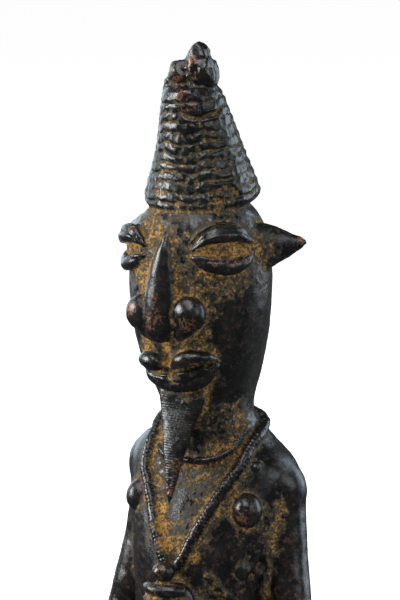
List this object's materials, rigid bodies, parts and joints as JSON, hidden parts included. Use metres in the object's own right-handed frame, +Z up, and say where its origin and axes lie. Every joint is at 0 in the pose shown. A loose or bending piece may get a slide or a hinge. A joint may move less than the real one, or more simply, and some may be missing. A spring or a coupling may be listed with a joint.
{
  "type": "seated figure",
  "caption": "Cast bronze seated figure in a ribbed conical cap, with a pointed beard, slit eyes and horn-like ears, on a round stool and low base.",
  "frame": {"origin": "centre of the base's underside, on the surface it stands on", "axes": "+Z up, the figure faces -Y, +X is the figure's left"},
  "size_m": [0.078, 0.09, 0.27],
  "materials": {
    "bronze": "dark brown-black patina, glossy on raised forms, ochre crust in recesses, coppery wear on high points"
  },
  "bodies": {
    "root": {"seated_figure": "bronze"}
  },
  "joints": []
}
